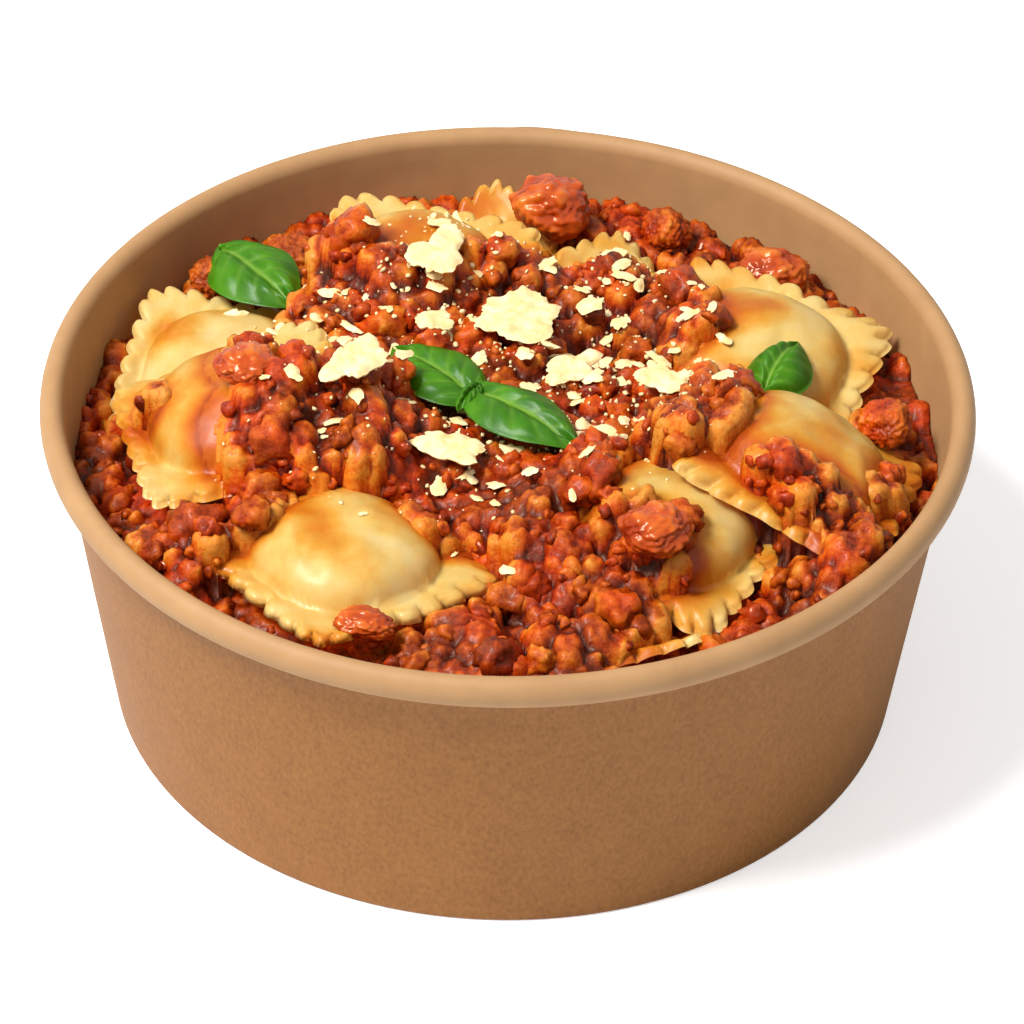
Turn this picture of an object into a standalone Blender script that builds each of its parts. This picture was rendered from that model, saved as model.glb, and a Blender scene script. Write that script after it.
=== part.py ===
"""Ravioli in meat sauce, in the kraft paper bowl that holds them.

Metres, +Z up. The origin is on the surface that the bowl's foot stands on, under the middle of the bowl.
The bowl is a board wall with a rolled bead and a recessed bottom. The sauce fills it as one heap, with a
pocket for each raviolo, and chunks of meat and tomato, basil and parmesan flakes lie on top.
"""

import math
import random

import bmesh
import bpy
from mathutils import Euler, Vector
from mathutils.bvhtree import BVHTree

MM = 0.001

# Driving dimensions of the bowl
RIM_RADIUS = 75 * MM
BOWL_HEIGHT = 57 * MM
FOOT_RADIUS = 65 * MM
SHOULDER_RADIUS = 71.7 * MM
BEAD_HEIGHT = 5.2 * MM
BEAD_WIDTH = 4 * MM
BOARD = 0.8 * MM
RECESS = 7 * MM
BOWL_SIDES = 48

# Gap between pieces that touch
GAP = 0.3 * MM

# Driving dimensions of the food
FREE_EDGE = 44 * MM
FREE_CROWN = 8.5 * MM
SAUCE_SPACING = 6.0 * MM
COVER = 2.6 * MM
UNDERCUT = 2.2 * MM
RIM_THICKNESS = 2.4 * MM
LOBES = 8
LOBE_DEPTH = 1.1 * MM
CRIMP = 0.78

# Each raviolo: half its side and the height of its filling in mm, the place of its middle in mm, then its
# turn about its own axis and its two leans in degrees, and where sauce lies over it: ellipses (middle and
# half axes) across its face, where the face runs from -1 to 1.
RAVIOLI = {
    "raviolo_front_left": (
        18.5, 8.5, (-25, -36, 48.5), (39, -4, 3),
        [(-0.45, 1.0, 0.9, 0.55), (0.5, 1.05, 0.8, 0.35), (0.9, -0.15, 0.4, 0.38)],
    ),
    "raviolo_front_right": (
        17.5, 8.5, (25.5, -27.5, 48.5), (-30, 3, 8),
        [(-0.95, -0.15, 0.4, 0.8), (0.05, -0.65, 0.45, 0.45), (-0.5, -1.0, 0.7, 0.35)],
    ),
    "raviolo_right": (
        18.5, 8.5, (46.5, -15, 52), (-19, -2, 22),
        [(-0.9, -0.1, 0.38, 0.65), (0.2, -0.6, 0.6, 0.25), (0.75, -0.75, 0.35, 0.45)],
    ),
    "raviolo_back_right": (
        19, 8.5, (40.5, 17, 48), (-23, 13, 1),
        [(-0.85, -0.05, 0.5, 0.55), (0, -1.0, 1.3, 0.5)],
    ),
    "raviolo_middle": (
        17.5, 6.5, (16, 30, 45), (38, 15, 9),
        [(-0.4, -0.35, 1.15, 1.0)],
    ),
    "raviolo_back_left": (
        18.5, 8.5, (-15.5, 31.5, 53.5), (-13, 7, 2),
        [(0.2, -0.85, 1.3, 0.72), (0.95, 0.1, 0.5, 0.5), (-0.62, -0.2, 0.28, 0.4)],
    ),
    "raviolo_back": (
        15.5, 5.5, (-4, 45.5, 42), (40, 34, 0),
        [(0, -0.9, 1.2, 0.9)],
    ),
    "raviolo_left": (
        18.5, 8.5, (-43, -6.5, 54), (16, 1, -13),
        [(0.45, -0.65, 0.85, 0.62), (0.95, -0.2, 0.4, 0.5), (0.15, 0.1, 0.35, 0.4)],
    ),
    "raviolo_left_under": (
        17.5, 6, (-46.5, 16, 44.5), (-9, 15, -1),
        [],
    ),
    "raviolo_front_under": (
        17, 5.5, (13, -44, 37), (6, -35, -8),
        [(0, 0.2, 1.2, 0.95)],
    ),
}

# Chunks of meat and tomato: middle across the bowl, and length, width and height, all in mm
CHUNKS = {
    "tomato_chunk_back": ((7.6, 54), (14, 12, 10)),
    "tomato_chunk_right": ((43.9, 42), (12, 10, 8.5)),
    "meat_chunk_back_right": ((26.5, 54), (9, 8, 8)),
    "meat_chunk_back_left": ((-37.3, 44), (11, 9, 8)),
    "meat_chunk_far_left": ((-50, 36.5), (8, 7, 6)),
    "meat_chunk_right": ((61, -0.5), (11, 8, 7)),
    "tomato_chunk_left": ((-41.3, -9.4), (11, 8, 4.5)),
    "tomato_chunk_front_right": ((23, -40), (13, 9, 7)),
    "tomato_chunk_front_left": ((-21, -55), (9, 6, 4)),
}

# Basil leaves: middle in mm, length and width in mm, heading of the tip and lean in degrees
LEAVES = {
    "basil_leaf_back_left": ((-42, 32.5), (21, 14.5), -52, (6, 14)),
    "basil_leaf_left": ((-11.8, 2.5), (20, 13), 135, (4, 6)),
    "basil_leaf_right": ((2.7, -9.5), (23, 13.5), -38, (6, -6)),
    "basil_leaf_curled": ((44.2, 7), (15, 11), 65, (10, -4)),
}
LEAF_THICKNESS = 0.9 * MM

# Parmesan flakes: middle in mm, length and width in mm, heading in degrees
FLAKES = {
    "parmesan_flake_large": ((2, 15.5), (17, 13.5), 40),
    "parmesan_flake_back": ((-11.2, 24), (14, 8.5), 75),
    "parmesan_flake_left": ((-24.8, -11.3), (13, 9), 60),
    "parmesan_flake_front": ((-9.2, -17.3), (13, 7), -25),
    "parmesan_flake_middle": ((10.4, 5), (11, 7), 40),
    "parmesan_flake_right": ((24.8, -3.5), (10, 6.5), -30),
    "parmesan_flake_beside": ((-12, 12.8), (6.5, 5.5), 10),
}
FLAKE_THICKNESS = 1.4 * MM


def clear_scene():
    for obj in list(bpy.data.objects):
        bpy.data.objects.remove(obj, do_unlink=True)


def make_material(name, colour, roughness):
    material = bpy.data.materials.new(name)
    material.use_nodes = True
    shader = material.node_tree.nodes["Principled BSDF"]
    shader.inputs["Base Color"].default_value = (*colour, 1)
    shader.inputs["Roughness"].default_value = roughness
    shader.inputs["Metallic"].default_value = 0
    return material


def make_object(name, bm, material):
    """A new object from a bmesh, with its faces pointing out and shaded smooth where it is round."""
    bmesh.ops.recalc_face_normals(bm, faces=bm.faces)
    mesh = bpy.data.meshes.new(name)
    bm.to_mesh(mesh)
    bm.free()
    mesh.shade_smooth()
    mesh.set_sharp_from_angle(angle=math.radians(40))
    mesh.materials.append(material)
    obj = bpy.data.objects.new(name, mesh)
    bpy.context.scene.collection.objects.link(obj)
    return obj


def stitch(bm, outer, inner):
    """Joins two closed rings of points, which may differ in count, with a band of triangles."""
    i = j = 0
    while i < len(outer) or j < len(inner):
        a = outer[i % len(outer)]
        b = inner[j % len(inner)]
        if j == len(inner) or (i < len(outer) and (i + 1) / len(outer) <= (j + 1) / len(inner)):
            i += 1
            bm.faces.new((a, outer[i % len(outer)], b))
        else:
            j += 1
            bm.faces.new((a, inner[j % len(inner)], b))


def close_ring(bm, ring, point):
    """Closes a ring of points with a fan round one middle point."""
    middle = bm.verts.new(point)
    for a, b in zip(ring, ring[1:] + ring[:1]):
        bm.faces.new((a, b, middle))


def circle(radius, count):
    steps = [2 * math.pi * k / count for k in range(count)]
    return [(radius * math.cos(angle), radius * math.sin(angle)) for angle in steps]


def add_ring(bm, points, z):
    return [bm.verts.new((x, y, z)) for x, y in points]


def lathe(name, profile, material, sides=BOWL_SIDES):
    """Spins a closed profile of (radius, height) points once round Z."""
    bm = bmesh.new()
    points = [bm.verts.new((r, 0, z)) for r, z in profile]
    edges = [bm.edges.new(pair) for pair in zip(points, points[1:] + points[:1])]
    bmesh.ops.spin(
        bm, geom=points + edges, cent=(0, 0, 0), axis=(0, 0, 1),
        angle=2 * math.pi, steps=sides, use_merge=True, use_duplicate=False,
    )
    bmesh.ops.remove_doubles(bm, verts=bm.verts, dist=1e-6)
    return make_object(name, bm, material)


def wall_radius(z):
    """Outer radius of the bowl's wall at a height."""
    shoulder = BOWL_HEIGHT - BEAD_HEIGHT
    return FOOT_RADIUS + (SHOULDER_RADIUS - FOOT_RADIUS) * z / shoulder


# Food stays this far inside the wall's inner face: the gap, and the chord of a facet
WALL_CLEARANCE = GAP + RIM_RADIUS * (1 - math.cos(math.pi / BOWL_SIDES))


def inner_radius(z):
    return wall_radius(z) - BOARD - WALL_CLEARANCE


def build_bowl():
    """The wall, rolled out into a bead at the rim and folded up inside at the foot, and the bottom disc."""
    kraft = make_material("kraft_board", (0.57, 0.33, 0.14), 0.75)
    lining = make_material("coated_board", (0.45, 0.22, 0.07), 0.45)
    hem = 4.5 * MM
    pocket = BOARD + 2 * GAP
    bead_r = RIM_RADIUS - BEAD_WIDTH / 2
    bead_z = BOWL_HEIGHT - BEAD_HEIGHT / 2
    bead = []
    for step in range(9):
        angle = math.radians(-110 + step * 34)
        bead.append((bead_r + BEAD_WIDTH / 2 * math.cos(angle), bead_z + BEAD_HEIGHT / 2 * math.sin(angle)))
    # The outer side from the foot to the bead, the bead, then down the inner side into the pocket
    wall = [(wall_radius(0), 0)]
    wall += [(wall_radius(bead[0][1]), bead[0][1] - BOARD)]
    wall += bead
    wall += [(SHOULDER_RADIUS - BOARD, BOWL_HEIGHT - BEAD_HEIGHT)]
    wall += [(wall_radius(BOARD) - BOARD, BOARD)]
    wall += [(wall_radius(BOARD) - BOARD - pocket, BOARD), (wall_radius(hem) - BOARD - pocket, hem)]
    wall += [(wall_radius(hem) - 2 * BOARD - pocket, hem), (wall_radius(0) - 2 * BOARD - pocket, 0)]
    lathe("bowl_wall", wall, kraft)
    # The bottom disc's edge is turned down into the pocket
    low = BOARD + GAP
    top = RECESS + BOARD
    flange = [
        (wall_radius(low) - BOARD - GAP, low),
        (wall_radius(top) - BOARD - GAP - BOARD / 2, top),
    ]
    bm = bmesh.new()
    rings = []
    profile = flange + [(flange[1][0] - BOARD, RECESS), (flange[0][0] - BOARD, low)]
    for r, z in profile:
        rings.append(add_ring(bm, circle(r, BOWL_SIDES), z))
    stitch(bm, rings[0], rings[1])
    stitch(bm, rings[2], rings[3])
    stitch(bm, rings[3], rings[0])
    close_ring(bm, rings[1], (0, 0, top))
    close_ring(bm, rings[2], (0, 0, RECESS))
    make_object("bowl_base", bm, lining)


def turn(angles):
    """A raviolo's rotation: first its turn about its own axis, then its two leans."""
    spin, lean_x, lean_y = (math.radians(a) for a in angles)
    return Euler((lean_x, lean_y, spin), "ZYX")


def rounded_square(half, count, power):
    """Points round a square whose corners are the rounder the lower the power."""
    points = []
    for k in range(count):
        angle = 2 * math.pi * k / count
        c, s = math.cos(angle), math.sin(angle)
        reach = half / (abs(c) ** power + abs(s) ** power) ** (1 / power)
        points.append((reach * c, reach * s))
    return points


def scalloped_square(half, seed):
    """A square whose edge runs in lobes, each a little different, starting near the middle of the +X side."""
    rng = random.Random(seed)
    steps = 2 * LOBES
    points = []
    for side in range(4):
        for k in range(steps):
            along = -1 + 2 * (k + 0.5) / steps
            inset = LOBE_DEPTH * (rng.uniform(0.8, 1.2) if k % 2 else rng.uniform(-0.2, 0.2))
            corner = 0.9 * MM * max(0, abs(along) - 0.8) / 0.2
            across = half - inset - corner
            x, y = across, along * (half - corner)
            for _ in range(side):
                x, y = -y, x
            points.append((x, y))
    return points[steps // 2:] + points[:steps // 2]


def raviolo_solid(half, dome, seed):
    """A pillow of two sheets of pasta: a flat lobed rim, a filled dome and a shallower belly."""
    belly = 0.38 * dome
    rim = RIM_THICKNESS / 2
    outline = scalloped_square(half, seed)
    bm = bmesh.new()
    rim_top = add_ring(bm, outline, rim)
    crimp = add_ring(bm, rounded_square(half * CRIMP, 32, 4), rim * 0.8)
    flank = add_ring(bm, rounded_square(half * 0.58, 16, 2.6), dome * 0.55)
    crown = add_ring(bm, rounded_square(half * 0.3, 8, 2), dome * 0.93)
    rim_low = add_ring(bm, outline, -rim)
    crimp_low = add_ring(bm, rounded_square(half * CRIMP, 16, 4), -rim)
    belly_low = add_ring(bm, rounded_square(half * 0.45, 8, 2), -belly)
    for outer, inner in (
        (rim_top, crimp), (crimp, flank), (flank, crown),
        (rim_low, rim_top), (rim_low, crimp_low), (crimp_low, belly_low),
    ):
        stitch(bm, outer, inner)
    close_ring(bm, crown, (0, 0, dome))
    bm.faces.new(belly_low)
    return bm


def raviolo_pocket(half, dome):
    """The plainer and slightly larger pillow that a raviolo presses into the sauce."""
    belly = 0.38 * dome + GAP
    rim = RIM_THICKNESS / 2 + GAP
    bm = bmesh.new()
    rings = [
        add_ring(bm, rounded_square(half * 0.62, 8, 3), -belly - 0.1 * MM),
        add_ring(bm, rounded_square(half + 2 * GAP, 16, 40), -rim),
        add_ring(bm, rounded_square(half + 2 * GAP, 16, 40), rim),
        add_ring(bm, rounded_square(half * CRIMP + 3.2 * GAP, 16, 4), rim + 0.6 * MM),
        add_ring(bm, rounded_square(half * 0.62 + 1.5 * GAP, 16, 2.6), dome * 0.7),
        add_ring(bm, rounded_square(half * 0.34, 8, 2), dome + 2 * GAP),
    ]
    for lower, upper in zip(rings, rings[1:]):
        stitch(bm, lower, upper)
    bm.faces.new(rings[0])
    bm.faces.new(rings[-1])
    return bm


def place(obj, middle, angles):
    obj.location = Vector(middle) * MM
    obj.rotation_mode = "ZYX"
    obj.rotation_euler = turn(angles)


def build_ravioli():
    pasta = make_material("fresh_pasta", (0.91, 0.68, 0.30), 0.35)
    for seed, (name, (half, dome, middle, angles, _)) in enumerate(RAVIOLI.items()):
        obj = make_object(name, raviolo_solid(half * MM, dome * MM, seed), pasta)
        place(obj, middle, angles)


def raviolo_height(u, v, dome, upper):
    """Height of a raviolo's upper or lower side over its middle plane at (u, v), each from -1 to 1."""
    reach = (abs(u) ** 3 + abs(v) ** 3) ** (1 / 3)
    swell = max(0, 1 - (reach / CRIMP) ** 2)
    if upper:
        return max(RIM_THICKNESS / 2, dome * swell ** 0.45)
    return -RIM_THICKNESS / 2


def sauce_top(x, y):
    """Height of the sauce's top: a low crown, over the covered ravioli and under the bare ones."""
    r = math.hypot(x, y)
    level = FREE_EDGE + FREE_CROWN * max(0, 1 - (r / (66 * MM)) ** 2)
    level += 0.9 * MM * math.sin(x / (3.1 * MM) + 1) * math.sin(y / (3.7 * MM))
    level += 0.5 * MM * math.sin(x / (1.9 * MM) - y / (2.3 * MM))
    topmost = None
    for half, dome, middle, angles, covers in RAVIOLI.values():
        half, dome = half * MM, dome * MM
        frame = turn(angles).to_matrix()
        normal = frame.col[2]
        centre = Vector(middle) * MM
        z = centre.z - (normal.x * (x - centre.x) + normal.y * (y - centre.y)) / normal.z
        local = frame.inverted() @ (Vector((x, y, z)) - centre)
        u, v = local.x / half, local.y / half
        if max(abs(u), abs(v)) > 1.16:
            continue
        if topmost is None or z > topmost[0]:
            topmost = (z, u, v, dome, covers)
    if topmost is None:
        return level
    z, u, v, dome, covers = topmost
    covered = any(math.hypot((u - cu) / ru, (v - cv) / rv) < 1 for cu, cv, ru, rv in covers)
    if covered:
        return z + raviolo_height(u, v, dome, True) + COVER
    return min(level, z + raviolo_height(u, v, dome, False) - UNDERCUT)


def cut_with(target, cutter):
    cutter.hide_render = True
    cutter.display_type = "WIRE"
    cut = target.modifiers.new("cut_" + cutter.name, "BOOLEAN")
    cut.operation = "DIFFERENCE"
    cut.object = cutter


def build_sauce():
    """One heap from the bottom disc up, with its uneven top worked out ring by ring."""
    ragu = make_material("meat_sauce", (0.32, 0.05, 0.015), 0.3)
    bm = bmesh.new()
    floor = RECESS + BOARD + GAP
    edge = inner_radius(FREE_EDGE)
    count = int(edge / SAUCE_SPACING)
    previous = None
    middle = bm.verts.new((0, 0, sauce_top(0, 0)))
    for ring_number in range(1, count + 1):
        radius = edge * ring_number / count
        points = 6 * ring_number if ring_number < count else BOWL_SIDES
        ring = []
        for x, y in circle(radius, points):
            z = sauce_top(x, y)
            fit = inner_radius(z) / edge if ring_number == count else 1
            ring.append(bm.verts.new((x * fit, y * fit, z)))
        if previous:
            stitch(bm, ring, previous)
        else:
            for a, b in zip(ring, ring[1:] + ring[:1]):
                bm.faces.new((a, b, middle))
        previous = ring
    foot = add_ring(bm, circle(inner_radius(floor), BOWL_SIDES), floor)
    stitch(bm, foot, previous)
    close_ring(bm, foot, (0, 0, floor))
    heap = make_object("meat_sauce", bm, ragu)
    for name, (half, dome, middle, angles, _) in RAVIOLI.items():
        pocket = make_object("pocket_" + name, raviolo_pocket(half * MM, dome * MM), ragu)
        place(pocket, middle, angles)
        cut_with(heap, pocket)


def evaluated_tree(objects):
    """One search tree, and the points, of the finished surfaces of some objects."""
    bpy.context.view_layer.update()
    graph = bpy.context.evaluated_depsgraph_get()
    points = []
    faces = []
    for obj in objects:
        shape = obj.evaluated_get(graph)
        mesh = shape.to_mesh()
        start = len(points)
        points += [shape.matrix_world @ v.co for v in mesh.vertices]
        faces += [[start + i for i in face.vertices] for face in mesh.polygons]
        shape.to_mesh_clear()
    return BVHTree.FromPolygons(points, faces), points


def lower_onto(obj, below):
    """Lowers a topping straight down until it is one gap clear of what lies below it."""
    high = 0.1
    down = Vector((0, 0, -1))
    obj.location.z = high
    tree, points = evaluated_tree([obj])
    ground, ground_points = below
    fall = high
    for point in points:
        hit = ground.ray_cast(point, down)
        if hit[0]:
            fall = min(fall, hit[3])
    for point in ground_points:
        hit = tree.ray_cast(point, -down)
        if hit[0]:
            fall = min(fall, hit[3])
    obj.location.z = high - fall + 2.5 * GAP


def solids():
    return [obj for obj in bpy.data.objects if obj.type == "MESH" and not obj.hide_render]


def add_topping(name, bm, material, middle, heading):
    below = evaluated_tree(solids())
    obj = make_object(name, bm, material)
    obj.location = (middle[0] * MM, middle[1] * MM, 0)
    obj.rotation_euler = (0, 0, math.radians(heading))
    lower_onto(obj, below)


def build_chunks():
    """Lumps of meat and tomato: spheres pushed out unevenly and drawn to their length, width and height."""
    meat = make_material("cooked_meat", (0.27, 0.06, 0.02), 0.4)
    tomato = make_material("cooked_tomato", (0.58, 0.06, 0.015), 0.25)
    for seed, (name, (middle, size)) in enumerate(CHUNKS.items()):
        rng = random.Random(seed)
        bm = bmesh.new()
        bmesh.ops.create_icosphere(bm, subdivisions=2, radius=0.5)
        for point in bm.verts:
            point.co *= rng.uniform(0.88, 1.04)
        bmesh.ops.scale(bm, vec=Vector(size) * MM, verts=bm.verts)
        material = tomato if name.startswith("tomato") else meat
        add_topping(name, bm, material, middle, rng.uniform(0, 180))


def build_flakes():
    """Broken slivers of hard cheese: uneven seven-sided plates."""
    cheese = make_material("parmesan", (0.90, 0.80, 0.52), 0.55)
    corners = 7
    for seed, (name, (middle, (length, width), heading)) in enumerate(FLAKES.items()):
        rng = random.Random(20 + seed)
        outline = []
        for k in range(corners):
            angle = 2 * math.pi * (k + rng.uniform(-0.25, 0.25)) / corners
            reach = rng.uniform(0.8, 1.05) * MM / 2
            outline.append((length * reach * math.cos(angle), width * reach * math.sin(angle)))
        bm = bmesh.new()
        low = add_ring(bm, outline, 0)
        top = add_ring(bm, [(0.9 * x, 0.9 * y) for x, y in outline], FLAKE_THICKNESS)
        stitch(bm, low, top)
        bm.faces.new(low)
        bm.faces.new(top)
        add_topping(name, bm, cheese, middle, heading)


def build_leaves():
    """Basil leaves: pointed ovals, cupped along the midrib and bent down to the tip."""
    basil = make_material("basil", (0.06, 0.26, 0.02), 0.35)
    rows = 7
    for name, ((x, y), (length, width), heading, (cup, bend)) in LEAVES.items():
        bm = bmesh.new()
        sections = []
        for row in range(rows):
            t = (row + 0.5) / rows
            half = width / 2 * math.sin(math.pi * t ** 0.85) ** 0.75 * MM
            along = (t - 0.5) * length * MM
            drop = -math.sin(math.radians(bend)) * length * MM * (2 * t - 1) ** 2 / 2
            rise = half * math.sin(math.radians(cup * 3))
            upper = [(along, -half, drop + rise), (along, 0, drop), (along, half, drop + rise)]
            lower = [(px, py, pz - LEAF_THICKNESS) for px, py, pz in reversed(upper)]
            sections.append([bm.verts.new(point) for point in upper + lower])
        for a, b in zip(sections, sections[1:]):
            stitch(bm, a, b)
        bm.faces.new(sections[0])
        bm.faces.new(sections[-1])
        add_topping(name, bm, basil, (x, y), heading)


clear_scene()
build_bowl()
build_ravioli()
build_sauce()
build_chunks()
build_flakes()
build_leaves()
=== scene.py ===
import math
import random

import bmesh
import bpy
import numpy as np
from mathutils import Euler, Matrix, Vector, noise
from mathutils.bvhtree import BVHTree


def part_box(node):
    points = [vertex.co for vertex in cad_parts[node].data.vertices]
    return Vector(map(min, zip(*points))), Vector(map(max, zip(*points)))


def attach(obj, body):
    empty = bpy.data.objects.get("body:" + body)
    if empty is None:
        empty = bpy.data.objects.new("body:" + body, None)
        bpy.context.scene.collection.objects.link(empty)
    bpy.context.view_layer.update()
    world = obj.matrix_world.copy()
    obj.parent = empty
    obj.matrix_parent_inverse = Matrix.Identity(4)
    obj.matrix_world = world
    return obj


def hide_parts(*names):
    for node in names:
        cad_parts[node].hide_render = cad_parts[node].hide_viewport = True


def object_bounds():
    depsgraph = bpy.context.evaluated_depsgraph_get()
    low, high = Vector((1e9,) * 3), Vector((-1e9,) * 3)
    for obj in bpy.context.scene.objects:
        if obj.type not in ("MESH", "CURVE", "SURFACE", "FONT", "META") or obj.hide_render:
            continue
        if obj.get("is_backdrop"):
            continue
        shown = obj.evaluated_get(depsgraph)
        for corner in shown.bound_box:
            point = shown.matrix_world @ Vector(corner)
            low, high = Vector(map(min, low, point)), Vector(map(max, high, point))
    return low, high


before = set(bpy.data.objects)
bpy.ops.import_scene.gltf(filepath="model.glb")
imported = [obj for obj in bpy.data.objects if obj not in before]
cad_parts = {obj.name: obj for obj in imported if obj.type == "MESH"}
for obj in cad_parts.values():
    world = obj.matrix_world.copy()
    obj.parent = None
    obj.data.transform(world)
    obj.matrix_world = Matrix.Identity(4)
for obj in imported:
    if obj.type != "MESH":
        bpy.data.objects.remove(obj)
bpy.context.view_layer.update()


# ---- Bowl wall -------------------------------------------------------------------------------------
# The side of a takeaway bowl: one sheet of brown kraft board, rolled into a cone and lapped at the back.
# Its top edge is curled outwards into a bead, and its foot is folded in round the bottom disc.

# A finer turning of the same profile as the frame's bowl_wall, with the lap as a step in the board
MM = 0.001
wall_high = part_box("bowl_wall")[1]
RIM_RADIUS = wall_high.x
BOWL_HEIGHT = wall_high.z
FOOT_RADIUS = 65 * MM
SHOULDER_RADIUS = 71.7 * MM
BEAD_WIDTH = 4 * MM
BEAD_HEIGHT = 5.2 * MM
BOARD = 0.8 * MM
HEM_HEIGHT = 4.5 * MM
HEM_INSET = 3 * MM
BOWL_SIDES = 160
SHOULDER = BOWL_HEIGHT - BEAD_HEIGHT
BEAD_POINTS = 25
BEAD_START = -118  # degrees, where the curl leaves the wall
BEAD_STEP = 12
OUTER_HEIGHTS = (0.35, 1, 4, 12, 24, 36, 46, 50.6)
INNER_HEIGHTS = (51.8, 46, 36, 24, 12, 5, 0.8)
LAP_WIDTH = 9 * MM
LAP_PROUD = 0.45 * MM
BEAD_SWAY = 0.18 * MM


def colour(hex_code):
    """An sRGB hex colour as linear red, green, blue and alpha."""
    channels = [int(hex_code[i:i + 2], 16) / 255 for i in (0, 2, 4)]
    linear = [c / 12.92 if c <= 0.04045 else ((c + 0.055) / 1.055) ** 2.4 for c in channels]
    return (*linear, 1)


def add_node(tree, kind, links=None, stops=(), **settings):
    """Adds a shader node. Links feed its inputs, from a socket or with a constant, and settings are its
    properties or its inputs' values. Stops are the places and hex colours of a colour ramp."""
    node = tree.nodes.new(kind)
    for key, value in settings.items():
        if hasattr(node, key):
            setattr(node, key, value)
        else:
            node.inputs[key.replace("_", " ")].default_value = value
    for socket, source in (links or {}).items():
        if isinstance(source, (int, float, tuple)):
            node.inputs[socket].default_value = source
        else:
            tree.links.new(source, node.inputs[socket])
    if stops:
        elements = node.color_ramp.elements
        while len(elements) < len(stops):
            elements.new(0.5)
        for element, (position, hex_code) in zip(elements, stops):
            element.position = position
            element.color = colour(hex_code)
    return node


def new_material(name):
    material = bpy.data.materials.new(name)
    material.use_nodes = True
    tree = material.node_tree
    tree.nodes.clear()
    shader = tree.nodes.new("ShaderNodeBsdfPrincipled")
    output = tree.nodes.new("ShaderNodeOutputMaterial")
    tree.links.new(shader.outputs[0], output.inputs[0])
    return material, tree, shader


def finish_piece(name, bm, material, slot, *replaced):
    """A finished piece of the food or the bowl: smooth, closed and standing for its frame nodes."""
    bmesh.ops.recalc_face_normals(bm, faces=bm.faces)
    mesh = bpy.data.meshes.new(name)
    bm.to_mesh(mesh)
    bm.free()
    mesh.shade_smooth()
    mesh.materials.append(material)
    piece = bpy.data.objects.new(name, mesh)
    bpy.context.scene.collection.objects.link(piece)
    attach(piece, "root")
    if replaced:
        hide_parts(*replaced)
    return piece


def wall_radius(z):
    return FOOT_RADIUS + (SHOULDER_RADIUS - FOOT_RADIUS) * z / SHOULDER


def turned(profile, sides):
    """A closed profile of (radius, height) points spun once round the bowl's axis."""
    bm = bmesh.new()
    points = [bm.verts.new((r, 0, z)) for r, z in profile]
    edges = [bm.edges.new(pair) for pair in zip(points, points[1:] + points[:1])]
    bmesh.ops.spin(
        bm, geom=points + edges, cent=(0, 0, 0), axis=(0, 0, 1),
        angle=2 * math.pi, steps=sides, use_merge=True, use_duplicate=False,
    )
    bmesh.ops.remove_doubles(bm, verts=bm.verts, dist=1e-6)
    return bm


# Kraft paper board: unbleached pulp, calendered. Matt, warm brown, with fine long fibres and faint
# mottling, paler and smoother on the bead and on the inner face.
kraft, tree, shader = new_material("kraft_paper_board")
place = add_node(tree, "ShaderNodeTexCoord").outputs["Object"]
fibre_stretch = add_node(tree, "ShaderNodeMapping", {"Vector": place}, Scale=(1500, 1500, 900))
fibres = add_node(tree, "ShaderNodeTexNoise", {"Vector": fibre_stretch.outputs[0]}, Scale=1, Detail=5)
mottle = add_node(tree, "ShaderNodeTexNoise", {"Vector": place}, Scale=130, Detail=4, Roughness=0.6)
board_colour = add_node(
    tree, "ShaderNodeValToRGB", {"Fac": mottle.outputs["Fac"]},
    stops=((0.3, "865520"), (0.7, "925F28")),
).outputs["Color"]
fibre_colour = add_node(
    tree, "ShaderNodeValToRGB", {"Fac": fibres.outputs["Fac"]},
    stops=((0.3, "6E4416"), (0.5, "8C5A24"), (0.7, "9C6A34")),
).outputs["Color"]
mixed = add_node(tree, "ShaderNodeMix", {0: 0.45, 6: board_colour, 7: fibre_colour}, data_type="RGBA")
pale = add_node(tree, "ShaderNodeAttribute", attribute_name="pale").outputs["Fac"]
smooth_colour = add_node(
    tree, "ShaderNodeValToRGB", {"Fac": mottle.outputs["Fac"]},
    stops=((0.3, "A07950"), (0.7, "AB8358")),
).outputs["Color"]
board = add_node(tree, "ShaderNodeMix", {0: pale, 6: mixed.outputs[2], 7: smooth_colour}, data_type="RGBA")
tree.links.new(board.outputs[2], shader.inputs["Base Color"])
shader.inputs["Roughness"].default_value = 0.6
shader.inputs["Specular IOR Level"].default_value = 0.3
bump = add_node(tree, "ShaderNodeBump", {"Height": fibres.outputs["Fac"]}, Strength=0.12, Distance=0.0001)
tree.links.new(bump.outputs[0], shader.inputs["Normal"])

bead = []
for step in range(BEAD_POINTS):
    angle = math.radians(BEAD_START + step * BEAD_STEP)
    bead.append((
        RIM_RADIUS - BEAD_WIDTH / 2 + BEAD_WIDTH / 2 * math.cos(angle),
        BOWL_HEIGHT - BEAD_HEIGHT / 2 + BEAD_HEIGHT / 2 * math.sin(angle),
    ))
outer = [(wall_radius(z * MM), z * MM) for z in OUTER_HEIGHTS]
inner = [(wall_radius(z * MM) - BOARD, z * MM) for z in INNER_HEIGHTS]
hem = [
    (wall_radius(0) - HEM_INSET + BOARD, BOARD), (wall_radius(0) - HEM_INSET + BOARD, HEM_HEIGHT),
    (wall_radius(0) - HEM_INSET, HEM_HEIGHT), (wall_radius(0) - HEM_INSET, 0.3 * MM),
    (wall_radius(0) - HEM_INSET + 0.3 * MM, 0), (wall_radius(0) - 0.3 * MM, 0),
]
bm = turned(outer + bead + inner + hem, BOWL_SIDES)
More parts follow.
